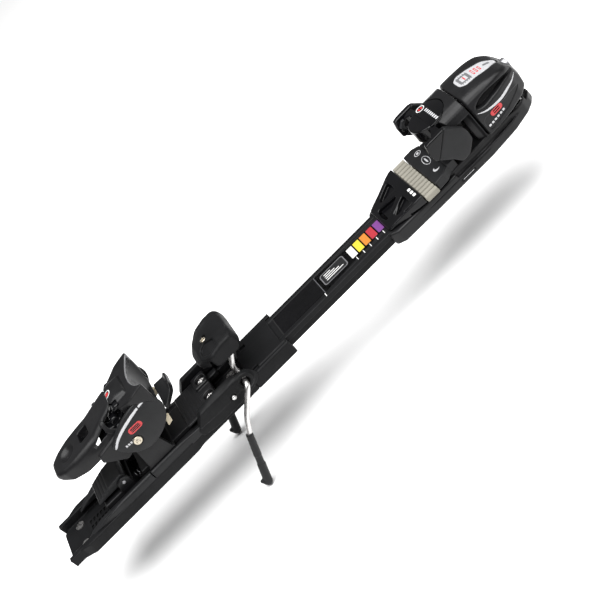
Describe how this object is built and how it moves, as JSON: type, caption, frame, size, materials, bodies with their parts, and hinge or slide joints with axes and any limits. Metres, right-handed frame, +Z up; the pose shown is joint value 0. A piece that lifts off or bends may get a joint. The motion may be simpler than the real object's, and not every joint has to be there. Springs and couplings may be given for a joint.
{
  "type": "rail alpine ski binding",
  "caption": "Step-in alpine ski binding on a centre rail: toe unit with swinging jaw, heel unit with step-in cup and lever, and a ski brake with two arms.",
  "frame": {"origin": "boot-centre mark on the ski's top surface, on the ski's middle plane, at the rail's underside", "axes": "+X towards the ski tip (toe), +Y to the skier's left, +Z up from the ski"},
  "size_m": [0.5722, 0.1004, 0.1588],
  "materials": {
    "black_plastic": "satin",
    "grey_plastic": "satin",
    "gloss_black": "gloss",
    "label_print": "satin",
    "window_white": "gloss",
    "indicator_dark": "satin",
    "pad_beige": "satin",
    "zinc_steel": "zinc plated",
    "spring_steel": "oiled"
  },
  "bodies": {
    "rail_base": {"centre_rail": "black_plastic", "front_ski_screws": "zinc_steel", "size_label": "label_print", "channel_insert": "gloss_black", "heel_front_plate": "black_plastic", "heel_base": "black_plastic", "rear_ski_screws": "zinc_steel", "side_cover_left": "black_plastic", "side_cover_right": "black_plastic", "toothed_rack": "black_plastic", "brake_bracket_left": "grey_plastic", "brake_bracket_right": "grey_plastic", "bracket_rivets": "zinc_steel"},
    "latch_carriage_body": {"latch_carriage": "black_plastic", "latch_pin": "zinc_steel", "pressure_spring": "spring_steel"},
    "latch_lever_body": {"latch_lever": "black_plastic", "latch_clip": "zinc_steel"},
    "heel_tower_body": {"heel_tower": "black_plastic", "heel_axle": "zinc_steel", "heel_cam": "zinc_steel", "heel_pad": "black_plastic", "heel_pad_screws": "zinc_steel"},
    "heel_housing_body": {"housing_core": "black_plastic", "cheek_left": "grey_plastic", "cheek_right": "grey_plastic", "cheek_screws": "zinc_steel", "heel_cup": "grey_plastic", "tread_spur": "black_plastic", "heel_piston": "zinc_steel", "heel_spring": "spring_steel"},
    "heel_lever_body": {"heel_lever": "black_plastic", "lever_pin": "zinc_steel"},
    "heel_screw_body": {"heel_release_screw": "zinc_steel"},
    "brake_body": {"brake_arms": "zinc_steel", "brake_tip_left": "black_plastic", "brake_tip_right": "black_plastic", "pedal_carrier": "black_plastic"},
    "pedal_body": {"pedal_pad": "grey_plastic", "pedal_screw": "zinc_steel"},
    "toe_carriage_body": {"toe_base": "black_plastic", "lock_clips": "zinc_steel", "toe_ramp": "black_plastic", "pad_guide": "zinc_steel", "sole_plate": "black_plastic", "sole_plate_screws": "zinc_steel", "pivot_post": "zinc_steel", "toe_collar": "black_plastic", "toe_housing": "black_plastic", "scale_window": "window_white", "toe_piston": "zinc_steel", "toe_spring": "spring_steel"},
    "toe_jaw_body": {"jaw_yoke": "gloss_black", "hub_cap": "gloss_black", "jaw_wing_left": "grey_plastic", "jaw_wing_right": "grey_plastic", "jaw_pads": "grey_plastic"},
    "pad_body": {"antifriction_pad": "pad_beige"},
    "toe_screw_body": {"toe_release_screw": "zinc_steel"},
    "indicator_body": {"toe_indicator": "indicator_dark"}
  },
  "joints": [
    {"name": "toe_adjust", "type": "slide", "parent": "rail_base", "child": "toe_carriage_body", "axis": [1, 0, 0], "range_m": [-0.034, 0.008]},
    {"name": "jaw_swing", "type": "hinge", "parent": "toe_carriage_body", "child": "toe_jaw_body", "pos_m": [0.1656, 0, 0.04], "axis": [0, 0, 1], "range_deg": [-15, 15], "stiffness_Nm_per_rad": 6},
    {"name": "pad_slide", "type": "slide", "parent": "toe_carriage_body", "child": "pad_body", "axis": [0, 1, 0], "range_m": [-0.008, 0.008], "stiffness_N_per_m": 400},
    {"name": "toe_screw_turn", "type": "hinge", "parent": "toe_carriage_body", "child": "toe_screw_body", "pos_m": [0.2436, 0, 0.038], "axis": [1, 0, 0], "range_deg": [-1080, 1080]},
    {"name": "toe_indicator_travel", "type": "slide", "parent": "toe_carriage_body", "child": "indicator_body", "axis": [1, 0, 0], "range_m": [-0.0046, 0.0046]},
    {"name": "heel_adjust", "type": "slide", "parent": "rail_base", "child": "latch_carriage_body", "axis": [1, 0, 0], "range_m": [-0.02, 0.016]},
    {"name": "latch_lift", "type": "hinge", "parent": "latch_carriage_body", "child": "latch_lever_body", "pos_m": [-0.238, 0, 0.025], "axis": [0, 1, 0], "range_deg": [0, 20], "stiffness_Nm_per_rad": 0.3, "springref_deg": -17.19},
    {"name": "forward_pressure", "type": "slide", "parent": "latch_carriage_body", "child": "heel_tower_body", "axis": [1, 0, 0], "range_m": [-0.008, 0], "stiffness_N_per_m": 3000, "springref_m": 0.01, "deforming": ["pressure_spring"]},
    {"name": "housing_tilt", "type": "hinge", "parent": "heel_tower_body", "child": "heel_housing_body", "pos_m": [-0.198, 0, 0.053], "axis": [0, 1, 0], "range_deg": [0, 26]},
    {"name": "lever_press", "type": "hinge", "parent": "heel_housing_body", "child": "heel_lever_body", "pos_m": [-0.201, 0, 0.069], "axis": [0, 1, 0], "range_deg": [-8, 0], "stiffness_Nm_per_rad": 1, "springref_deg": 8.59},
    {"name": "heel_screw_turn", "type": "hinge", "parent": "heel_housing_body", "child": "heel_screw_body", "pos_m": [-0.222, 0, 0.053], "axis": [1, 0, 0], "range_deg": [-1080, 1080]},
    {"name": "brake_swing", "type": "hinge", "parent": "rail_base", "child": "brake_body", "pos_m": [-0.1, 0, 0.02], "axis": [0, 1, 0], "range_deg": [0, 52], "stiffness_Nm_per_rad": 0.6, "springref_deg": -22.92},
    {"name": "pedal_tilt", "type": "hinge", "parent": "brake_body", "child": "pedal_body", "pos_m": [-0.0835, 0, 0.052], "axis": [0, 1, 0], "range_deg": [-18.2, 0]}
  ],
  "couplings": [
    {"joint": "toe_indicator_travel", "follows": "toe_screw_turn", "m_per_rad": 0.0002387},
    {"joint": "pedal_tilt", "follows": "brake_swing", "ratio": -0.35}
  ]
}
